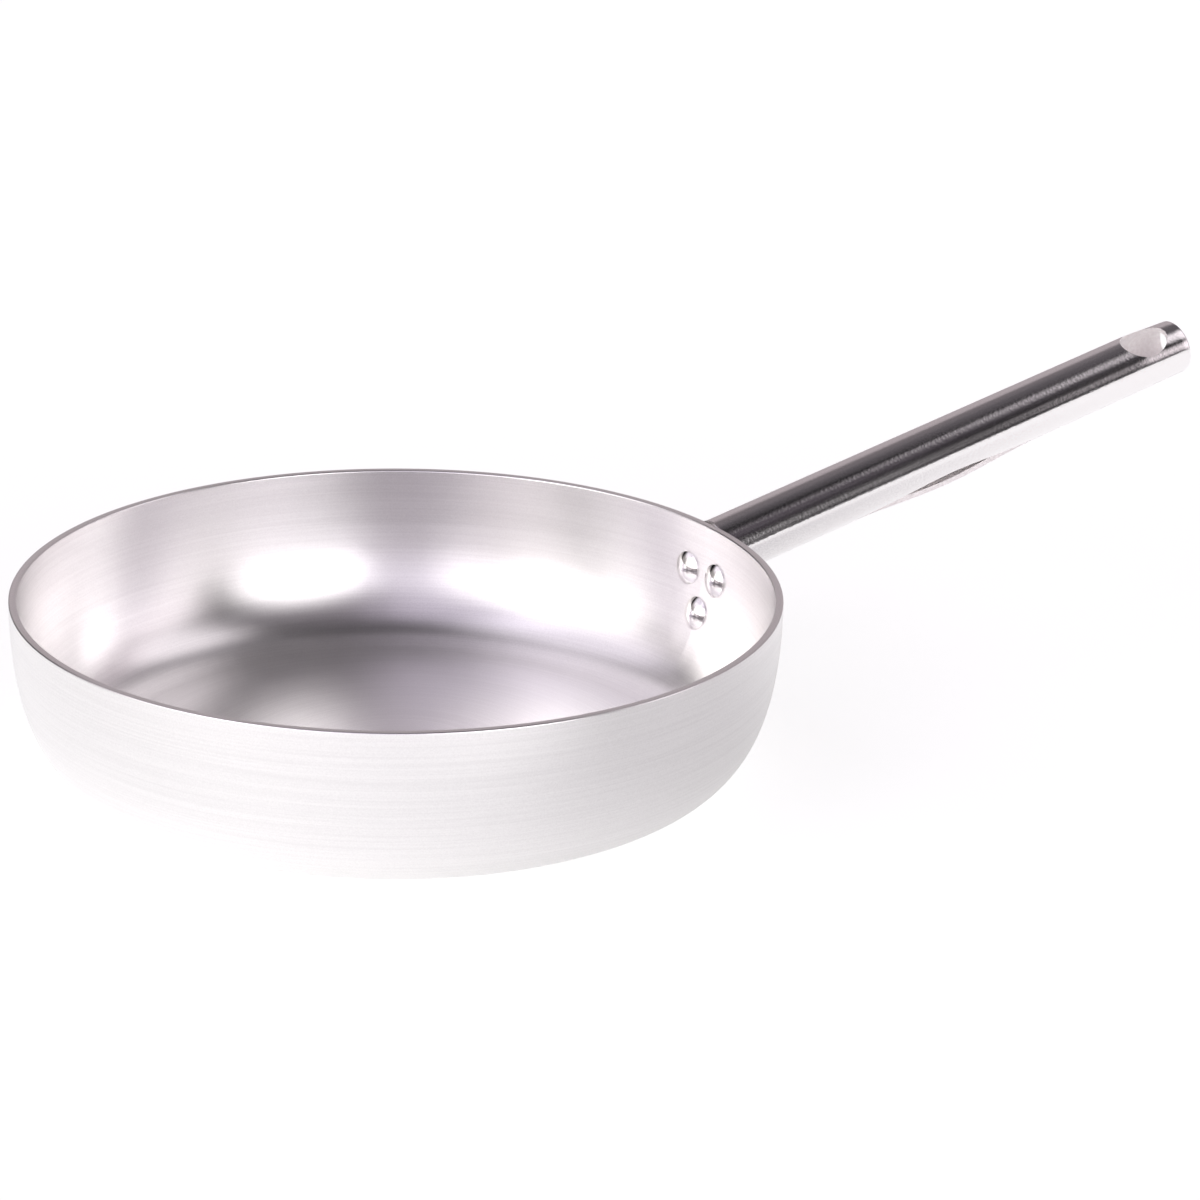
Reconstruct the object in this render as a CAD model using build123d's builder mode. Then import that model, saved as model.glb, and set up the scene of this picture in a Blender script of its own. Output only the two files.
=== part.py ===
from build123d import *
from math import cos, degrees, pi, radians, sin
import os

# Omelette pan: a pressed aluminium body, a handle rolled from sheet steel and three rivets.
# Millimetres. The origin is at the centre of the flat base, +Z is up and the handle runs along +X.

# Pan body: the wall drops straight from the rim and turns through a wide knee into the base
rim_diameter = 280.0
pan_height = 65.5
base_diameter = 210.0
wall_thickness = 3.0
wall_reach = 42.6
knee_reach = 23.9
rim_edge_radius = 0.5

# Rivets: two side by side and one below them, at depths under the rim
rivet_head_diameter = 12.6
rivet_head_height = 2.9
rivet_head_edge = 0.7
rivet_shank_diameter = 6.0
rivet_tail_diameter = 9.6
rivet_tail_height = 2.2
rivet_tail_edge = 0.5
rivet_spacing = 18.0
rivet_row_depth = 19.6
lower_rivet_depth = 35.2
rivet_seat_depth = 0.4
rivet_hole_clearance = 0.1

# Mounting plate of the handle: the same sheet, curved to the outside of the wall
plate_shoulder_radius = 9.0
plate_foot_radius = 10.0
plate_clearance = 0.1

# Tube of the handle: a rolled sheet that tapers a little to the tip. Its ridge starts above the rim
sheet_thickness = 2.0
neck_radius = 11.7
tip_radius = 11.2
handle_rise = 11.3
handle_length = 228.0
ridge_rise = 0.9
neck_overlap = 6.0
neck_trim_drop = 9.5
neck_trim_length = 19.0

# Seam of the rolled sheet, low on the right side, and the slot where its edges part.
# Angles are measured round the tube from its ridge towards the right side.
seam_angle = 147.0
seam_gap = 0.4
flap_root_angle = 210.0
slot_start = 58.0
slot_end = 154.0
slot_edge_angle = 122.0
seam_opening_share = 0.03
flap_end_side = 4.4
flap_end_drop = 13.1

# Nose of the handle: towards the tip the ridge sinks a little and the outer edge is rounded
nose_length = 23.0
nose_sink = 1.2
nose_edge_radius = 1.2

# Oval hanging hole near the tip, turned from the ridge towards the right side
hang_hole_length = 21.5
hang_hole_width = 15.2
hang_hole_angle = 22.5
hang_hole_from_tip = 18.2

# One overrun for every cut
overrun = 5.0

rim_radius = rim_diameter / 2
base_radius = base_diameter / 2
ridge_height = pan_height + ridge_rise
rivet_row_height = pan_height - rivet_row_depth
lower_rivet_height = pan_height - lower_rivet_depth

os.makedirs("parts", exist_ok=True)


def wall_curve():
    """Outside of the wall, from the rim down to the edge of the flat base."""
    return Bezier(
        (rim_radius, pan_height),
        (rim_radius, pan_height - wall_reach),
        (base_radius + knee_reach, 0),
        (base_radius, 0),
        mode=Mode.PRIVATE,
    )


def parallel_curve(gap):
    """Line at a gap outside the wall's outside; with a negative gap it is inside it."""
    curve = wall_curve()
    shares = [number / 16 for number in range(17)]
    return Spline(
        *[curve @ share + (curve % share).rotate(Axis.Z, 90) * gap for share in shares],
        tangents=(curve % 0, curve % 1),
        mode=Mode.PRIVATE,
    )


def wall_plane(height, side_distance):
    """Plane on the outside of the wall, facing out, at a height and a distance beside the handle."""
    curve = wall_curve()
    top, bottom = 0.0, 1.0
    for _ in range(40):
        middle = (top + bottom) / 2
        if (curve @ middle).Y > height:
            top = middle
        else:
            bottom = middle
    point = curve @ top
    along = curve % top
    turn = degrees(side_distance / point.X)
    return Plane(
        origin=Vector(point.X, 0, point.Y).rotate(Axis.Z, turn),
        z_dir=Vector(-along.Y, 0, along.X).rotate(Axis.Z, turn),
    )


rivet_planes = {
    "rivet_left": wall_plane(rivet_row_height, rivet_spacing / 2),
    "rivet_right": wall_plane(rivet_row_height, -rivet_spacing / 2),
    "rivet_lower": wall_plane(lower_rivet_height, 0),
}


# Pan body
with BuildPart() as pan_body:
    with BuildSketch(Plane.XZ):
        with BuildLine():
            add(wall_curve())
            add(parallel_curve(-wall_thickness))
            Line((rim_radius, pan_height), (rim_radius - wall_thickness, pan_height))
            Polyline((base_radius, 0), (0, 0), (0, wall_thickness), (base_radius, wall_thickness))
        make_face()
    revolve(axis=Axis.Z)
    fillet(pan_body.edges().group_by(Axis.Z)[-1], rim_edge_radius)
    with Locations(*rivet_planes.values()):
        Cylinder(
            rivet_shank_diameter / 2 + rivet_hole_clearance,
            2 * (wall_thickness + overrun),
            mode=Mode.SUBTRACT,
        )

pan_body.part.label = "pan_body"
export_step(pan_body.part, "parts/pan_body.step")


def wall_envelope(gap):
    """Solid of all that lies inside a gap round the wall's outside, carried on above the rim."""
    line = parallel_curve(gap)
    top = pan_height + overrun
    with BuildPart() as envelope:
        with BuildSketch(Plane.XZ):
            with BuildLine():
                add(line)
                Polyline(line @ 0, (rim_radius + gap, top), (0, top), (0, -gap), line @ 1)
            make_face()
        revolve(axis=Axis.Z)
    return envelope.part


# Mounting plate: a shield-shaped sheet, curved to the wall, that closes the tube's end
with BuildPart() as plate:
    with BuildSketch(Plane.YZ):
        with Locations((0, ridge_height - neck_radius)):
            Circle(neck_radius - sheet_thickness / 2)
        with Locations(
            (rivet_spacing / 2, rivet_row_height), (-rivet_spacing / 2, rivet_row_height)
        ):
            Circle(plate_shoulder_radius)
        with Locations((0, lower_rivet_height)):
            Circle(plate_foot_radius)
        make_hull()
    extrude(amount=rim_radius + overrun)
    add(wall_envelope(plate_clearance + sheet_thickness), mode=Mode.INTERSECT)
    add(wall_envelope(plate_clearance), mode=Mode.SUBTRACT)


def tube_plane(distance):
    """Plane across the tube at a distance from the wall, with its origin on the ridge."""
    along = Vector(cos(radians(handle_rise)), 0, sin(radians(handle_rise)))
    return Plane(
        origin=Vector(rim_radius, 0, ridge_height) + along * distance,
        x_dir=(0, 1, 0),
        z_dir=along,
    )


def round_tube(angle):
    """Direction from the tube's centre line, at an angle from the ridge towards the right side."""
    return Vector(-sin(radians(angle)), cos(radians(angle)))


def tube_section(distance, opening, hollow):
    """Section of the tube, or of its hollow with the gap between the edges of the sheet.

    The opening is near 0 at the shut seam and 1 at the slot's middle.
    """
    sink = nose_sink * max(0, distance - handle_length + nose_length) / nose_length
    radius = neck_radius + (tip_radius - neck_radius) * distance / handle_length - sink / 2
    centre = Vector(0, -radius - sink)
    depth = sheet_thickness if hollow else 0
    edge_angle = seam_angle + (slot_edge_angle - seam_angle) * opening
    root_way = round_tube(flap_root_angle)
    flap_way = round_tube(flap_root_angle - 90)
    root = centre + root_way * radius
    shut_end = centre + round_tube(seam_angle + degrees(seam_gap / radius)) * radius
    end = shut_end + (centre + Vector(-flap_end_side, -flap_end_drop) - shut_end) * opening
    chord = end - root
    bend = -chord.dot(chord) / (2 * chord.dot(root_way))
    bend_centre = root - root_way * bend
    end_way = (end - bend_centre).normalized()
    edge_way = round_tube(edge_angle)
    start = centre + edge_way * (radius - depth)
    turn = root - root_way * depth
    finish = end - end_way * depth
    with BuildSketch(tube_plane(distance)) as section:
        with BuildLine():
            ThreePointArc(start, centre + round_tube(edge_angle / 2 - 90) * (radius - depth), turn)
            TangentArc(turn, finish, tangent=flap_way)
            if hollow:
                clear_end = end + end_way * sheet_thickness
                clear_edge = centre + edge_way * (radius + sheet_thickness)
                Polyline(finish, clear_end, clear_edge, start)
            else:
                Line(finish, start)
        make_face()
    return section.sketch


def slot_section(share, hollow):
    """Section at a share of the slot's length: it opens and shuts again as a lens."""
    opening = seam_opening_share + (1 - seam_opening_share) * sin(pi * share) ** 2
    return tube_section(slot_start + (slot_end - slot_start) * share, opening, hollow)


# The hanging hole is punched square to a plane through the tube's centre line
tube_axis = tube_plane(0).z_dir
tube_up = tube_plane(0).y_dir
hang_hole_plane = Plane(
    origin=tube_plane(handle_length - hang_hole_from_tip).origin - tube_up * tip_radius,
    x_dir=tube_axis,
    z_dir=tube_up.rotate(Axis((0, 0, 0), tube_axis), hang_hole_angle),
)
slot_shares = (0, 0.25, 0.5, 0.75, 1)
nose_start = handle_length - nose_length
straight_stretches = (
    (-neck_overlap, slot_start),
    (slot_end, nose_start),
    (nose_start, handle_length),
)

# Handle: the rolled tube, trimmed under the neck and pierced at the tip, on its plate
with BuildPart() as handle:
    for hollow, mode in ((False, Mode.ADD), (True, Mode.SUBTRACT)):
        for ends in straight_stretches:
            loft(
                [tube_section(distance, seam_opening_share, hollow) for distance in ends], mode=mode
            )
        loft([slot_section(share, hollow) for share in slot_shares], mode=mode)
    tip_arcs = handle.faces().sort_by(Axis((0, 0, 0), tube_axis))[-1].edges().filter_by(GeomType.CIRCLE)
    fillet(tip_arcs.sort_by(SortBy.RADIUS)[-2:], nose_edge_radius)
    with BuildSketch(Plane.XZ):
        with BuildLine():
            neck_bottom = ridge_height - 2 * neck_radius - overrun
            Polyline(
                (rim_radius - neck_overlap - overrun, ridge_height - neck_trim_drop),
                (rim_radius + sheet_thickness, ridge_height - neck_trim_drop),
                (rim_radius + neck_trim_length, neck_bottom),
                (rim_radius - neck_overlap - overrun, neck_bottom),
                close=True,
            )
        make_face()
    extrude(amount=neck_radius + overrun, both=True, mode=Mode.SUBTRACT)
    add(wall_envelope(plate_clearance), mode=Mode.SUBTRACT)
    add(plate.part)
    with BuildSketch(hang_hole_plane):
        Ellipse(hang_hole_length / 2, hang_hole_width / 2)
    extrude(amount=tip_radius + overrun, both=True, mode=Mode.SUBTRACT)
    with Locations(*rivet_planes.values()):
        Cylinder(
            rivet_shank_diameter / 2 + rivet_hole_clearance,
            2 * (sheet_thickness + plate_clearance),
            mode=Mode.SUBTRACT,
        )

handle.part.label = "handle"
export_step(handle.part, "parts/handle.step")


def rivet_section(length_to_tail):
    """Half section of a rivet: head on the cooking side, shank, tail formed on the plate."""
    head = rivet_head_diameter / 2
    shank = rivet_shank_diameter / 2
    tail = rivet_tail_diameter / 2
    head_rise = rivet_head_height - rivet_head_edge
    tail_rise = rivet_tail_height - rivet_tail_edge
    seat = -wall_thickness
    with BuildSketch(Plane.XZ) as section:
        with BuildLine():
            RadiusArc(
                (0, seat - rivet_head_height),
                (head, seat - rivet_head_edge),
                -(head**2 + head_rise**2) / (2 * head_rise),
            )
            Polyline(
                (head, seat - rivet_head_edge),
                (head, seat + rivet_seat_depth),
                (shank, seat + rivet_seat_depth),
                (shank, length_to_tail - rivet_seat_depth),
                (tail, length_to_tail - rivet_seat_depth),
                (tail, length_to_tail + rivet_tail_edge),
            )
            RadiusArc(
                (tail, length_to_tail + rivet_tail_edge),
                (0, length_to_tail + rivet_tail_height),
                -(tail**2 + tail_rise**2) / (2 * tail_rise),
            )
            Line((0, length_to_tail + rivet_tail_height), (0, seat - rivet_head_height))
        make_face()
    return section.sketch


# Rivets: each is revolved about its own axis, and the wall and the plate shape its two seats
for name, plane in rivet_planes.items():
    with BuildPart() as rivet:
        with BuildSketch(Plane(plane.origin, x_dir=plane.x_dir, z_dir=-plane.y_dir)):
            add(rivet_section(plate_clearance + sheet_thickness))
        revolve(axis=Axis(plane.origin, plane.z_dir))
        add(pan_body.part, mode=Mode.SUBTRACT)
        add(handle.part, mode=Mode.SUBTRACT)
    rivet.part.label = name
    export_step(rivet.part, f"parts/{name}.step")
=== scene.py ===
# %% [markdown]
# # An omelette pan in pressed aluminium
#
# The pan is a round aluminium body, a handle rolled from sheet steel and three rivets that
# hold the two together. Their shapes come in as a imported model, drawn in millimetres and used
# here in metres. Two things are left to do. The handle is rolled once more from evenly divided
# faces, because a mirror shows every unevenness of a mesh. And all the pieces get the look of
# metal, which takes a camera, a studio to reflect, and a finish for each of them.
#
# A polished thing has hardly any colour of its own. What one sees on it is the room, bent by
# the shape and blurred by the finish. That is why the light comes before the materials here.

from math import cos, degrees, pi, radians, sin

import bmesh
import bpy
from mathutils import Matrix, Vector


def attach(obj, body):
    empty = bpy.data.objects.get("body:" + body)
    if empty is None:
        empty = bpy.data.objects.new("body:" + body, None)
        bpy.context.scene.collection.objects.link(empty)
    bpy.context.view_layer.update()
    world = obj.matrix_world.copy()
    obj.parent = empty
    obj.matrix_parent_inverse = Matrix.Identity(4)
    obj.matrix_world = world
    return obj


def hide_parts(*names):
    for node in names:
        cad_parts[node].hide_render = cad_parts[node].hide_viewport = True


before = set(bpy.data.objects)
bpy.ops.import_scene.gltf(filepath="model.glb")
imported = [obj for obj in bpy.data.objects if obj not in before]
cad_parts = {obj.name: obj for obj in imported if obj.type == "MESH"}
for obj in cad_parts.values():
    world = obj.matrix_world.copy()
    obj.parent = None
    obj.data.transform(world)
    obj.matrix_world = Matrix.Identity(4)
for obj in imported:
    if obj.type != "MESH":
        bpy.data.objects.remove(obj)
bpy.context.view_layer.update()

# %% [markdown]
# ## The camera
#
# The picture looks down into the pan from a height of about twenty degrees, and the handle
# points away to the right. A long lens from nearly two metres keeps the rim a clean ellipse.
# A short lens close by would have given the same size, but it would have swollen the near
# side. The camera is turned in three steps, because each is then a number with a meaning:
# which way it heads, how far it tips down and how far it leans.

# %% Place the camera
view_heading = radians(-34.65)
view_tip = radians(20.05)
view_lean = radians(0.926)
camera_place = Vector((-0.9070, -1.4416, 0.6844))
camera_data = bpy.data.cameras.new("camera")
camera_data.sensor_width = 36
camera_data.lens = 150
camera = bpy.data.objects.new("camera", camera_data)
camera.matrix_world = (
    Matrix.Translation(camera_place)
    @ Matrix.Rotation(view_heading, 4, "Z")
    @ Matrix.Rotation(pi / 2 - view_tip, 4, "X")
    @ Matrix.Rotation(view_lean, 4, "Z")
)
bpy.context.scene.collection.objects.link(camera)
bpy.context.scene.camera = camera
bpy.context.scene.view_settings.view_transform = "Standard"
print("camera to the pan's middle", round(camera_place.length, 3), "m")

# %% [markdown]
# ## One helper for nodes
#
# A material is a tree of small nodes. Each could be made with three or four lines of code, and
# a finish has twenty of them, so one helper does it: it makes a node, sets what it is told,
# and joins a socket wherever the value that it gets is itself a socket.


# %% Make one node
def node(tree, kind, inputs=(), **settings):
    made = tree.nodes.new(kind)
    for key, value in settings.items():
        setattr(made, key, value)
    for key, value in dict(inputs).items():
        if isinstance(value, bpy.types.NodeSocket):
            tree.links.new(value, made.inputs[key])
        else:
            made.inputs[key].default_value = value
    return made


# %% [markdown]
# ## The studio
#
# The pan was lit by a few large soft lights in a dark room. Lamps would do that too, but
# small ones show up in metal as hard spots. The world itself can carry the lights instead:
# every direction of the sky gets a brightness, dark in most places and bright in soft round
# patches. Each patch below has a bearing, counted from the right of the picture towards the
# back, a height above the horizon, a spread and a colour. The spread is the angle at which the
# patch has faded away.
#
# The two strong lights stand in front, with a dimmer gap between them. The gap is what the far
# wall of the pan shows as its greyer middle, and the lights are the bright spots beside it.

# %% Describe the soft lights
sky_dark = (0.012, 0.011, 0.012)
soft_lights = (
    ("right", 355, 15, 19, (1.25, 1.14, 1.20)),
    ("far right", 32, 15, 32, (0.52, 0.45, 0.49)),
    ("far", 90, 15, 34, (0.43, 0.38, 0.40)),
    ("left", 180, 15, 32, (0.385, 0.352, 0.350)),
    ("left front", 210, 15, 32, (1.30, 1.28, 1.25)),
    ("front on the left", 233, 13, 32, (1.60, 1.53, 1.56)),
    ("front", 270, 12, 30, (0.92, 0.85, 0.97)),
    ("front on the right", 305, 14, 27, (2.95, 2.84, 2.91)),
    ("high right", 12, 45, 22, (1.10, 1.03, 1.08)),
    ("high far right", 60, 50, 34, (0.10, 0.09, 0.10)),
    ("high far left", 120, 50, 34, (0.080, 0.070, 0.072)),
    ("high left", 180, 50, 34, (0.86, 0.80, 0.90)),
    ("high front on the left", 240, 50, 34, (0.52, 0.47, 0.57)),
    ("high front on the right", 300, 50, 34, (0.085, 0.070, 0.087)),
)

# %% [markdown]
# How near a direction is to the middle of a patch is a dot product, and a smooth step turns
# that into an edge as soft as a diffuser. Multiply and add, patch after patch, and the sky is
# done. The background of a product picture is plain white, so what the camera itself sees of
# the sky is white, while metal still reflects the room.

# %% Build the sky
full_light_share = 0.35
world = bpy.data.worlds.new("studio")
world.use_nodes = True
bpy.context.scene.world = world
sky = world.node_tree
sky.nodes.clear()
toward = node(sky, "ShaderNodeTexCoord").outputs["Generated"]
start_colour = dict(zip("XYZ", sky_dark))
glow = node(sky, "ShaderNodeCombineXYZ", start_colour).outputs["Vector"]
for title, bearing, height, spread, colour in soft_lights:
    way = Vector((cos(radians(height)), 0, sin(radians(height))))
    way.rotate(Matrix.Rotation(view_heading + radians(bearing), 3, "Z"))
    nearness = node(sky, "ShaderNodeVectorMath", {0: toward, 1: way}, operation="DOT_PRODUCT")
    edge = node(
        sky,
        "ShaderNodeMapRange",
        {
            "Value": nearness.outputs["Value"],
            "From Min": cos(radians(spread)),
            "From Max": cos(radians(full_light_share * spread)),
        },
        interpolation_type="SMOOTHSTEP",
    )
    glow = node(
        sky,
        "ShaderNodeVectorMath",
        {0: edge.outputs["Result"], 1: colour, 2: glow},
        operation="MULTIPLY_ADD",
        label=title,
    ).outputs["Vector"]
room = node(sky, "ShaderNodeBackground", {"Color": glow})
white = node(sky, "ShaderNodeBackground", {"Color": (1, 1, 1, 1)})
rays = node(sky, "ShaderNodeLightPath")
seen = node(
    sky,
    "ShaderNodeMixShader",
    {0: rays.outputs["Is Camera Ray"], 1: room.outputs[0], 2: white.outputs[0]},
)
node(sky, "ShaderNodeOutputWorld", {"Surface": seen.outputs[0]})
print(len(soft_lights), "soft lights in the sky")

# %% [markdown]
# ## The floor
#
# The pan stands on a plain white table. Lit from the side like this, a white floor would come
# out grey in the picture, and more light would only bleach the metal. So the floor glows a
# little for the camera and for reflections, and the rest of its white is ordinary matt paint.
# The matt part is what still takes a soft shadow.
#
# The outer wall of the pan turns greyer towards its right end, where the pan and its handle
# shade the table.
# So a painted shadow darkens what metal sees of the glow, in a soft pool to the right of the pan
# and a little in front of it. The camera sees none of this painted shadow.

# %% Lay the floor
floor_reach = 3.0
paint_white = 0.5
floor_glow = 0.72
# Painted shadow: the glow that metal sees at the middle of the pool, and the distances where it
# starts and ends fading.
painted_shadow_glow = 0.36
painted_shadow_inner = 0.05
painted_shadow_outer = 0.34
floor_mesh = bpy.data.meshes.new("floor")
floor_work = bmesh.new()
bmesh.ops.create_grid(floor_work, x_segments=4, y_segments=4, size=floor_reach)
floor_work.to_mesh(floor_mesh)
floor_work.free()
floor = bpy.data.objects.new("floor", floor_mesh)
bpy.context.scene.collection.objects.link(floor)
paint = bpy.data.materials.new("white table")
paint.use_nodes = True
table = paint.node_tree
table.nodes.clear()
rays = node(table, "ShaderNodeLightPath")
matt = node(table, "ShaderNodeBsdfDiffuse", {"Color": (paint_white,) * 3 + (1,)})
place = node(table, "ShaderNodeTexCoord").outputs["Object"]
# The middle of the painted shadow, to the right of the pan and a little in front of it, turned
# with the view.
painted_shadow_middle = Vector((0.25, -0.10, 0))
painted_shadow_middle.rotate(Matrix.Rotation(view_heading, 3, "Z"))
from_painted_shadow = node(table, "ShaderNodeVectorMath", {0: place, 1: painted_shadow_middle}, operation="DISTANCE")
# Glow for reflections, with the painted shadow taken out of it near the pool's middle.
glow_for_metal_with_painted_shadow = node(
    table,
    "ShaderNodeMapRange",
    {
        "Value": from_painted_shadow.outputs["Value"],
        "From Min": painted_shadow_inner,
        "From Max": painted_shadow_outer,
        "To Min": painted_shadow_glow,
        "To Max": floor_glow,
    },
    interpolation_type="SMOOTHSTEP",
)
only_metal = node(
    table,
    "ShaderNodeMath",
    {0: rays.outputs["Is Glossy Ray"], 1: glow_for_metal_with_painted_shadow.outputs["Result"]},
    operation="MULTIPLY",
)
glow_for_all = node(
    table,
    "ShaderNodeMath",
    {0: rays.outputs["Is Camera Ray"], 1: floor_glow, 2: only_metal.outputs[0]},
    operation="MULTIPLY_ADD",
)
lit = node(table, "ShaderNodeEmission", {"Strength": glow_for_all.outputs[0]})
both = node(table, "ShaderNodeAddShader", {0: matt.outputs[0], 1: lit.outputs[0]})
node(table, "ShaderNodeOutputMaterial", {"Surface": both.outputs[0]})
floor_mesh.materials.append(paint)
print("floor:", 2 * floor_reach, "m across, a pool of", painted_shadow_outer, "m")

# %% [markdown]
# ## The handle, rolled from one sheet
#
# The real handle starts as a flat sheet, two millimetres thick, and is rolled up until its two
# edges meet in a seam under the right side. In the middle of its length the seam opens into a
# long slot, because one edge, the flap, is bent away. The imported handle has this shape, yet on
# a mirror the eye also sees how its surface was divided. So it is built again here, from the
# same sizes, as rows of even faces that follow the roll of the sheet.
#
# One cross section says it all: a way round the tube from one edge over the ridge to the
# other, and the direction that faces out at every point. The inside is the same way again,
# one sheet thickness further in. Angles are in degrees, from the ridge towards the right side
# as one looks out along the handle.

# %% Draw one cross section
sheet_thickness = 0.0020
neck_radius = 0.0117
tip_radius = 0.0112
handle_length = 0.228
seam_angle = 147
seam_gap = 0.0004
seam_opening = 0.03
slot_edge_angle = 122
slot_start = 0.058
slot_end = 0.154
flap_root_angle = 210
flap_end = Vector((-0.0044, -0.0131))
nose_length = 0.023
nose_sink = 0.0012
nose_rounding = 0.0012
round_steps = 88
flap_steps = 14


def round_tube(angle):
    return Vector((-sin(radians(angle)), cos(radians(angle))))


def slot_opening(distance):
    """Near 0 where the seam is shut, and 1 in the middle of the slot."""
    share = (distance - slot_start) / (slot_end - slot_start)
    if not 0 < share < 1:
        return seam_opening
    return seam_opening + (1 - seam_opening) * sin(pi * share) ** 2


def cross_section(distance):
    """Points round the tube, each with its way out, as how far to the left and how far up."""
    sink = nose_sink * max(0.0, distance - handle_length + nose_length) / nose_length
    radius = neck_radius + (tip_radius - neck_radius) * distance / handle_length - sink / 2
    centre = Vector((0, -radius - sink))
    opening = slot_opening(distance)
    near_edge = seam_angle + (slot_edge_angle - seam_angle) * opening
    flap_root = flap_root_angle - 360
    points = []
    for step in range(round_steps + 1):
        out = round_tube(near_edge + (flap_root - near_edge) * step / round_steps)
        points.append((centre + out * radius, out))
    root, root_way = points[-1]
    shut_end = centre + round_tube(seam_angle + degrees(seam_gap / radius)) * radius
    end = shut_end + (centre + flap_end - shut_end) * opening
    chord = end - root
    bend = -chord.dot(chord) / (2 * chord.dot(root_way))
    bend_centre = root - root_way * bend
    turn = -root_way.angle_signed(end - bend_centre)
    for step in range(1, flap_steps + 1):
        out = root_way.copy()
        out.rotate(Matrix.Rotation(turn * step / flap_steps, 2))
        points.append((bend_centre + out * bend, out))
    return points


slot_middle = (slot_start + slot_end) / 2
print("points round the handle:", len(cross_section(slot_middle)))

# %% [markdown]
# The tube doesn't start on one flat cut. It meets the round wall of the pan, and below it is
# trimmed slantwise to let the mounting plate through. So each line along the tube gets a start
# of its own, and the first stretch is divided evenly from there. The wall's outside is the
# same curve as the pan's: straight down from the rim, then round into the base.

# %% Find where each line of the tube starts
rim_radius = 0.140
pan_height = 0.0655
base_radius = 0.105
wall_reach = 0.0426
knee_reach = 0.0239
wall_knots = (
    (rim_radius, pan_height),
    (rim_radius, pan_height - wall_reach),
    (base_radius + knee_reach, 0.0),
    (base_radius, 0.0),
)
neck_clearance = 0.00015
ridge_height = 0.0664
handle_rise = radians(11.3)
along = Vector((cos(handle_rise), 0, sin(handle_rise)))
upward = Vector((-sin(handle_rise), 0, cos(handle_rise)))
trim_drop = 0.0095
trim_reach = 0.019
trim_below_tube = 0.005
trim_top = Vector((rim_radius + sheet_thickness, ridge_height - trim_drop))
trim_bottom = Vector(
    (rim_radius + trim_reach, ridge_height - 2 * neck_radius - trim_below_tube)
)
trim_fall = (trim_top.y - trim_bottom.y) / (trim_bottom.x - trim_top.x)


def wall_radius(height):
    """Radius of the wall's outside at a height, found by halving the curve again and again."""
    low, high = 0.0, 1.0
    for _ in range(30):
        share = (low + high) / 2
        rest = 1 - share
        weights = (rest**3, 3 * share * rest**2, 3 * share**2 * rest, share**3)
        radius, level = (
            sum(weight * knot[axis] for weight, knot in zip(weights, wall_knots))
            for axis in (0, 1)
        )
        if level > height:
            low = share
        else:
            high = share
    return radius


def on_handle(distance, point):
    """Where a point of the cross section lies in the room, at a distance from the wall."""
    beside_ridge = Vector((rim_radius, point.x, ridge_height))
    return beside_ridge + along * distance + upward * point.y


def line_start(point):
    """Distance along the tube at which this line of it comes out of the wall or of the trim."""
    distance = 0.0
    for _ in range(6):
        place = on_handle(distance, point)
        wall = wall_radius(min(place.z, pan_height)) + neck_clearance
        distance += ((wall**2 - place.y**2) ** 0.5 - place.x) / along.x
    if point.y >= -trim_drop:
        return distance
    place = on_handle(0.0, point)
    below_trim = trim_top.y - place.z - trim_fall * (place.x - trim_top.x)
    return max(distance, below_trim / (along.z + trim_fall * along.x))


ridge_point = cross_section(0.0)[round_steps // 2][0]
print("a line near the ridge starts", round(1000 * line_start(ridge_point), 2), "mm out")

# %% [markdown]
# Rows of faces join one section to the next, outside and inside, and narrow faces close the
# two long edges and both ends. The stations lie closer together at the slot and at the nose,
# where the shape changes quickly. The nose's outer edge is turned in on a small quarter
# circle, as if a wheel had broken the edge. The inside and the long edges are marked for a
# finish of their own.


# %% Roll the sheet
def evenly(start, end, count):
    """Stations after the start and up to the end, in even steps."""
    return [start + (end - start) * step / count for step in range(1, count + 1)]


polished, dull = 0, 1
neck_rows = 14
nose_start = handle_length - nose_length
edge_start = handle_length - nose_rounding
stations = [0.0] + evenly(0.0, slot_start, neck_rows)
stations += evenly(slot_start, slot_end, 48)
stations += evenly(slot_end, nose_start, 12)
stations += evenly(nose_start, edge_start, 8)
stations += [edge_start + nose_rounding * sin(radians(angle)) for angle in range(15, 91, 15)]
roll = bmesh.new()
rings = []
for number, station in enumerate(stations):
    outside, inside = [], []
    past = min(nose_rounding, max(0.0, station - edge_start))
    turned_in = nose_rounding - (nose_rounding**2 - past**2) ** 0.5
    for point, out in cross_section(station):
        distance = station
        if number < neck_rows:
            start = line_start(point)
            distance = start + (slot_start - start) * number / neck_rows
        outside.append(roll.verts.new(on_handle(distance, point - out * turned_in)))
        inside.append(roll.verts.new(on_handle(distance, point - out * sheet_thickness)))
    rings.append(outside + inside[::-1])
half_ring = len(rings[0]) // 2
for ring, following in zip(rings, rings[1:]):
    for here in range(len(ring)):
        after = (here + 1) % len(ring)
        face = roll.faces.new((ring[here], ring[after], following[after], following[here]))
        face.material_index = dull if here >= half_ring - 1 else polished
for ring in (rings[0], rings[-1]):
    for here in range(half_ring - 1):
        roll.faces.new((ring[here], ring[here + 1], ring[-here - 2], ring[-here - 1]))
bmesh.ops.recalc_face_normals(roll, faces=roll.faces)
print("faces on the rolled sheet:", len(roll.faces))

# %% [markdown]
# The mounting plate is the same sheet, cut like a shield and pressed against the wall. Its
# outline is the tight loop round four discs, one behind the tube and one behind each rivet.
# Rings that shrink towards the middle fill it, and every point is then pushed out to the wall.

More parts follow.
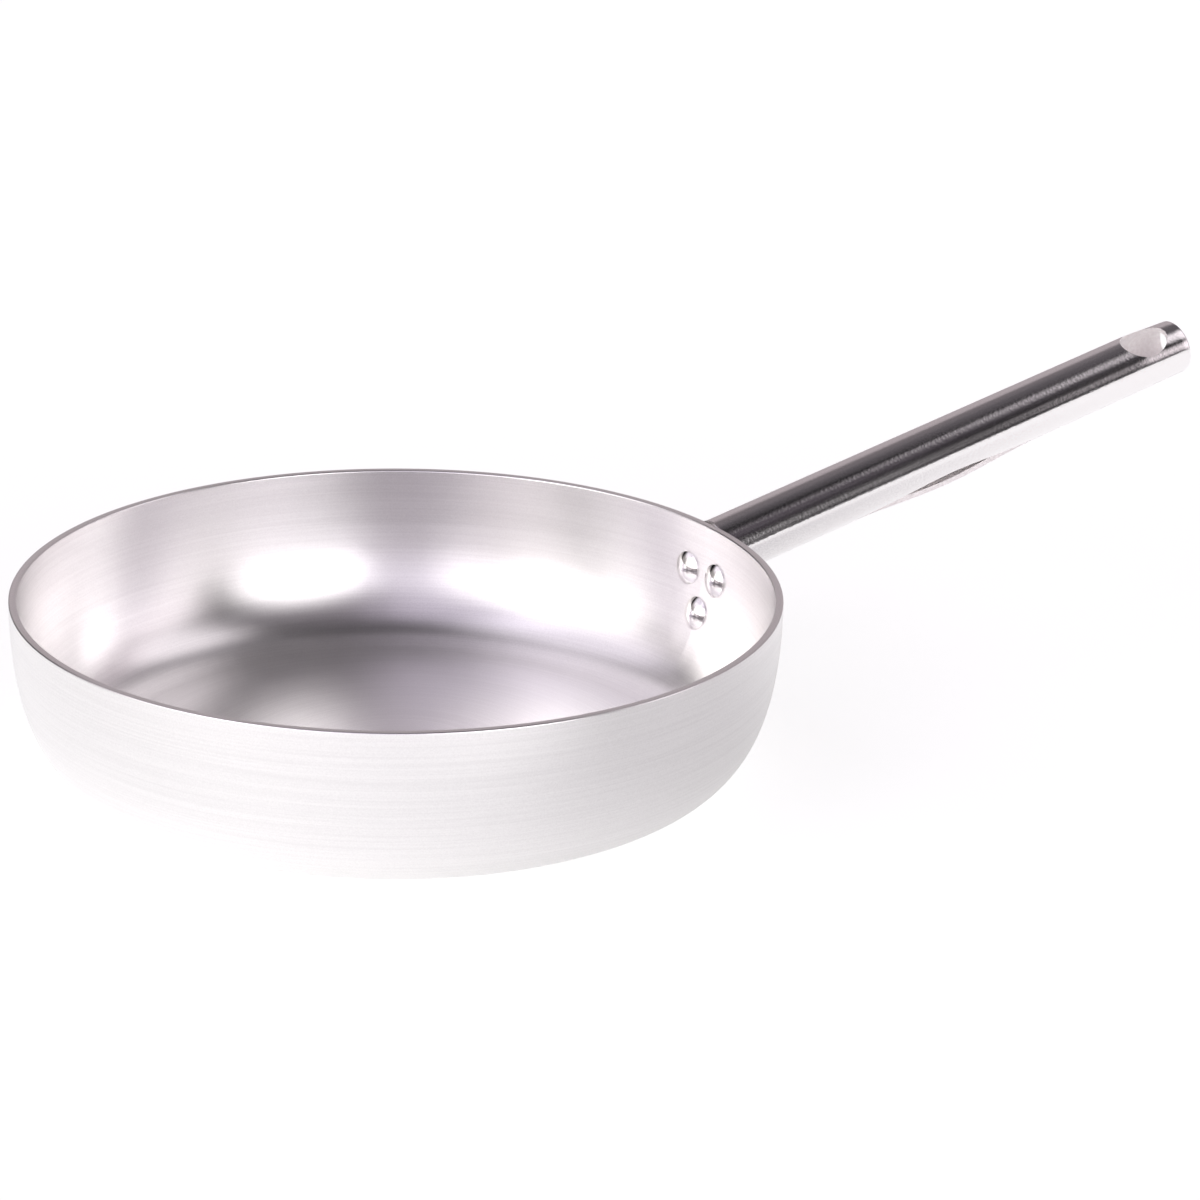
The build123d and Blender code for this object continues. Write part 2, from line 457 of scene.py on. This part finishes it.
# %% Press the plate
plate_points = 96
plate_clearance = 0.0001
rivet_row_height = 0.0459
lower_rivet_height = 0.0303
rivet_aside = 0.009
shoulder_radius = 0.009
foot_radius = 0.010
plate_discs = (
    (0, ridge_height - neck_radius, neck_radius - sheet_thickness / 2),
    (rivet_aside, rivet_row_height, shoulder_radius),
    (-rivet_aside, rivet_row_height, shoulder_radius),
    (0, lower_rivet_height, foot_radius),
)
plate_middle = Vector((0, 0.044))
ring_sizes = (1.0, 0.985, 0.8, 0.6, 0.4, 0.2)
outline = []
for step in range(plate_points):
    turn = 2 * pi * step / plate_points
    way = Vector((cos(turn), sin(turn)))
    reaches = [Vector(disc[:2]).dot(way) + disc[2] for disc in plate_discs]
    aside, level, radius = plate_discs[reaches.index(max(reaches))]
    outline.append(Vector((aside, level)) + way * radius)
plate_edges = []
for gap in (plate_clearance, plate_clearance + sheet_thickness):
    rows = []
    for size in ring_sizes:
        row = []
        for point in outline:
            flat = plate_middle + (point - plate_middle) * size
            wall = wall_radius(min(flat.y, pan_height)) + gap
            row.append(roll.verts.new(((wall**2 - flat.x**2) ** 0.5, flat.x, flat.y)))
        rows.append(row)
    plate_edges.append(rows[0])
    for row, smaller in zip(rows, rows[1:]):
        for here in range(plate_points):
            after = (here + 1) % plate_points
            roll.faces.new((row[here], row[after], smaller[after], smaller[here]))
    roll.faces.new(rows[-1])
back, front = plate_edges
for here in range(plate_points):
    after = (here + 1) % plate_points
    roll.faces.new((back[here], front[here], front[after], back[after]))
bmesh.ops.recalc_face_normals(roll, faces=roll.faces)
print("faces with the plate:", len(roll.faces))
handle_mesh = bpy.data.meshes.new("rolled handle")
roll.to_mesh(handle_mesh)
roll.free()
handle = bpy.data.objects.new("rolled_handle", handle_mesh)
bpy.context.scene.collection.objects.link(handle)

# %% [markdown]
# The oval hanging hole is punched through both walls of the tube. A punch is a stretched
# cylinder, and the Boolean modifier takes it away from the sheet. It is turned from the ridge
# towards the right side, and it goes into the mesh for good before the punch is thrown away.
# The faces that it cuts are left dull, like the inside.

# %% Punch the hanging hole
hole_length = 0.0215
hole_width = 0.0152
hole_angle = 22.5
hole_from_tip = 0.0182
punch_work = bmesh.new()
bmesh.ops.create_cone(
    punch_work, cap_ends=True, segments=72, radius1=1, radius2=1, depth=0.05
)
for face in punch_work.faces:
    face.material_index = dull
punch_mesh = bpy.data.meshes.new("punch")
punch_work.to_mesh(punch_mesh)
punch_work.free()
punch = bpy.data.objects.new("punch", punch_mesh)
bpy.context.scene.collection.objects.link(punch)
punch_up = Matrix.Rotation(radians(hole_angle), 3, along) @ upward
punch_side = punch_up.cross(along)
hole_middle = on_handle(handle_length - hole_from_tip, Vector((0, -tip_radius)))
punch_axes = Matrix((along * hole_length / 2, punch_side * hole_width / 2, punch_up))
punch.matrix_world = Matrix.Translation(hole_middle) @ punch_axes.transposed().to_4x4()
cut = handle.modifiers.new("hanging hole", "BOOLEAN")
cut.operation = "DIFFERENCE"
cut.object = punch
cut.solver = "EXACT"
bpy.context.view_layer.update()
punched = handle.evaluated_get(bpy.context.evaluated_depsgraph_get())
handle.data = bpy.data.meshes.new_from_object(punched)
handle.modifiers.clear()
bpy.data.objects.remove(punch)
print("faces with the hole:", len(handle.data.polygons))

# %% [markdown]
# Cut sheet is never quite sharp. A narrow bevel breaks every edge that turns by more than
# fifty degrees, and catches a thin line of light there. The rest is shaded smooth.

# %% Break the edges
handle.data.shade_smooth()
bevel = handle.modifiers.new("broken edges", "BEVEL")
bevel.width = 0.00025
bevel.segments = 2
bevel.limit_method = "ANGLE"
bevel.angle_limit = radians(50)
bevel.harden_normals = True
bevel.use_clamp_overlap = True
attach(handle, "root")
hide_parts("handle")
print("handle box", [round(1000 * side, 1) for side in handle.dimensions], "mm")

# %% [markdown]
# ## Where on the pan am I?
#
# The body was pressed and then polished while it turned, so all its marks run round it in
# circles. A flat image of scratches would need unwrapping and would show a seam. Noise needs
# neither, if it is asked in the right terms. Four of them describe a place on a turned thing:
# the plain position across, which changes slowly, and the distance from the middle and the
# height, which are multiplied until the noise is squeezed into hair lines.
#
# Three more helpers serve every finish. One makes a fine even grain, one adds two noises by
# weight, and one stretches the middle values of a noise over a range.


# %% Noise that runs round the pan
def turned_lines(tree, per_metre, around=14.0, detail=3.0):
    place = node(tree, "ShaderNodeTexCoord").outputs["Object"]
    parts = node(tree, "ShaderNodeSeparateXYZ", {0: place}).outputs
    flat = node(tree, "ShaderNodeCombineXYZ", {"X": parts["X"], "Y": parts["Y"]})
    radius = node(tree, "ShaderNodeVectorMath", {0: flat.outputs[0]}, operation="LENGTH")
    terms = {"X": parts["X"], "Y": parts["Y"], "Z": radius.outputs["Value"]}
    squeezed = node(
        tree,
        "ShaderNodeVectorMath",
        {
            0: node(tree, "ShaderNodeCombineXYZ", terms).outputs[0],
            1: (around, around, per_metre),
        },
        operation="MULTIPLY",
    )
    up = node(tree, "ShaderNodeMath", {0: parts["Z"], 1: per_metre}, operation="MULTIPLY")
    noise = node(
        tree,
        "ShaderNodeTexNoise",
        {"Vector": squeezed.outputs[0], "W": up.outputs[0], "Scale": 1.0, "Detail": detail},
        noise_dimensions="4D",
    )
    return noise.outputs["Fac"]


def fine_grain(tree, per_metre, detail=2.0):
    place = node(tree, "ShaderNodeTexCoord").outputs["Object"]
    noise = node(
        tree, "ShaderNodeTexNoise", {"Vector": place, "Scale": per_metre, "Detail": detail}
    )
    return noise.outputs["Fac"]


def added(tree, first, first_weight, second, second_weight):
    part = node(tree, "ShaderNodeMath", {0: second, 1: second_weight}, operation="MULTIPLY")
    terms = {0: first, 1: first_weight, 2: part.outputs[0]}
    return node(tree, "ShaderNodeMath", terms, operation="MULTIPLY_ADD").outputs[0]


def between(tree, value, low, high, from_low=0.3, from_high=0.7):
    terms = {"From Min": from_low, "From Max": from_high, "To Min": low, "To Max": high}
    return node(tree, "ShaderNodeMapRange", {"Value": value, **terms}).outputs["Result"]


# %% [markdown]
# ## One helper for metal
#
# Every metal here is the same shader with other numbers. A grain blends two near colours, a
# second noise may move the roughness a little, and a relief tilts the surface through a bump.
# Numbers that hold for the whole piece are set on the shader itself.


# %% Make one metal
def blend_colours(tree, share, first, second):
    made = node(tree, "ShaderNodeMix", {0: share}, data_type="RGBA")
    made.inputs[6].default_value = (*first, 1)
    made.inputs[7].default_value = (*second, 1)
    return made.outputs[2]


def metal(name, roughness, anisotropy=0.0):
    made = bpy.data.materials.new(name)
    made.use_nodes = True
    tree = made.node_tree
    skin = tree.nodes["Principled BSDF"]
    skin.inputs["Metallic"].default_value = 1.0
    skin.inputs["Roughness"].default_value = roughness
    if anisotropy:
        skin.inputs["Anisotropic"].default_value = anisotropy
        skin.inputs["Anisotropic Rotation"].default_value = 0.25
        tangent = node(tree, "ShaderNodeTangent", direction_type="RADIAL", axis="Z")
        tree.links.new(tangent.outputs[0], skin.inputs["Tangent"])
    return made, tree, skin


def finish_skin(tree, skin, colour, relief, strength, depth, roughness=None):
    tree.links.new(colour, skin.inputs["Base Color"])
    if roughness is not None:
        tree.links.new(roughness, skin.inputs["Roughness"])
    bump = node(
        tree, "ShaderNodeBump", {"Strength": strength, "Distance": depth, "Height": relief}
    )
    tree.links.new(bump.outputs[0], skin.inputs["Normal"])
    print("nodes in the finish:", len(tree.nodes))


# %% [markdown]
# ## Satin aluminium
#
# Aluminium is bright and a little warm. The satin comes from countless fine circles: they
# hardly blur a reflection along their own run, and blur it a lot across. That is anisotropy,
# and it draws the bright fans on the floor of the pan. A plain rough metal would give round
# smudges there. The tangent runs round the upright axis, and a quarter turn puts the blur
# across it. Hair lines and a sandy grain then change the colour, the roughness and the
# surface by small amounts, so that no two places are quite the same.

# %% Make the satin aluminium
satin, tree, skin = metal("satin aluminium", roughness=0.30, anisotropy=0.6)
hair_lines = turned_lines(tree, 1400.0)
broad_lines = turned_lines(tree, 260.0, around=9.0)
sand = fine_grain(tree, 1700.0)
share = between(tree, added(tree, sand, 0.5, hair_lines, 0.5), 0.0, 1.0, 0.38, 0.62)
colour = blend_colours(tree, share, (0.865, 0.853, 0.847), (0.945, 0.935, 0.927))
roughness = between(tree, broad_lines, 0.29, 0.31)
relief = added(tree, sand, 0.8, hair_lines, 0.12)
finish_skin(tree, skin, colour, relief, strength=0.09, depth=0.00004, roughness=roughness)

# %% [markdown]
# ## Steel for the handle
#
# The handle is a brighter, harder metal with a tight mirror finish, so it shows the dark room
# as a dark band and the white table as a white one. Close up its skin is not a perfect mirror:
# rolling left it faintly pebbled. That pebble is a small bump, and it is what frays the line
# between dark and bright. Long faint draw marks run from the neck to the tip. They are noise
# again, squeezed across a direction that rises with the handle.

# %% Make the steel
steel, tree, skin = metal("rolled steel", roughness=0.13)
pebble = fine_grain(tree, 900.0)
spots = fine_grain(tree, 2600.0, detail=1.0)
place = node(tree, "ShaderNodeTexCoord").outputs["Object"]
level = node(
    tree,
    "ShaderNodeVectorRotate",
    {"Vector": place, "Angle": handle_rise},
    rotation_type="Y_AXIS",
)
marks_per_metre = (12.0, 1100.0, 1100.0)
squeezed = node(
    tree,
    "ShaderNodeVectorMath",
    {0: level.outputs[0], 1: marks_per_metre},
    operation="MULTIPLY",
)
draw_marks = node(
    tree, "ShaderNodeTexNoise", {"Vector": squeezed.outputs[0], "Scale": 1.0, "Detail": 3.0}
).outputs["Fac"]
share = between(tree, spots, 0.0, 1.0, 0.35, 0.65)
colour = blend_colours(tree, share, (0.86, 0.84, 0.84), (0.98, 0.965, 0.96))
roughness = between(tree, draw_marks, 0.11, 0.17)
relief = added(tree, draw_marks, 0.3, pebble, 1.0)
finish_skin(tree, skin, colour, relief, strength=0.5, depth=0.00006, roughness=roughness)

# %% [markdown]
# Only the outside of the roll was polished. Inside, the sheet kept the dull pale skin that it
# left the mill with. It shows in the slot and in the hanging hole, where it takes light from
# all round and so looks brighter than a mirror would in there.

# %% Make the dull inner steel
mill_skin, tree, skin = metal("mill steel", roughness=0.8)
share = between(tree, fine_grain(tree, 700.0, detail=4.0), 0.0, 1.0)
colour = blend_colours(tree, share, (0.90, 0.87, 0.865), (0.98, 0.96, 0.955))
finish_skin(tree, skin, colour, fine_grain(tree, 1900.0), strength=0.2, depth=0.00005)

# %% [markdown]
# ## Rivets
#
# The heads were struck in a die and came out as small mirrors. On something so round a
# reflection shrinks to a few sharp shapes, so the finish is nearly smooth, with only a breath
# of unevenness that keeps the three from looking stamped by a computer.

# %% Make the rivet metal
bright, tree, skin = metal("bright aluminium", roughness=0.09)
dents = fine_grain(tree, 420.0, detail=1.0)
share = between(tree, fine_grain(tree, 1500.0), 0.0, 1.0)
colour = blend_colours(tree, share, (0.86, 0.85, 0.845), (0.95, 0.94, 0.935))
roughness = between(tree, dents, 0.07, 0.13)
finish_skin(tree, skin, colour, dents, strength=0.25, depth=0.0001, roughness=roughness)

# %% [markdown]
# ## Dress the pieces
#
# The rolled handle takes two metals, so its dull faces are noted down before its list of
# materials is made, and marked again afterwards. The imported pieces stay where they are, and
# only their plain materials are exchanged.

# %% Give each piece its metal
dull_faces = [face.index for face in handle.data.polygons if face.material_index == dull]
handle.data.materials.clear()
handle.data.materials.append(steel)
handle.data.materials.append(mill_skin)
for index in dull_faces:
    handle.data.polygons[index].material_index = dull
print("dull faces:", len(dull_faces))
finishes = {"pan_body": satin, "handle": steel}
for name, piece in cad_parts.items():
    for metal_place in piece.material_slots:
        metal_place.material = finishes.get(name, bright)
    print(name, "wears", piece.material_slots[0].material.name)
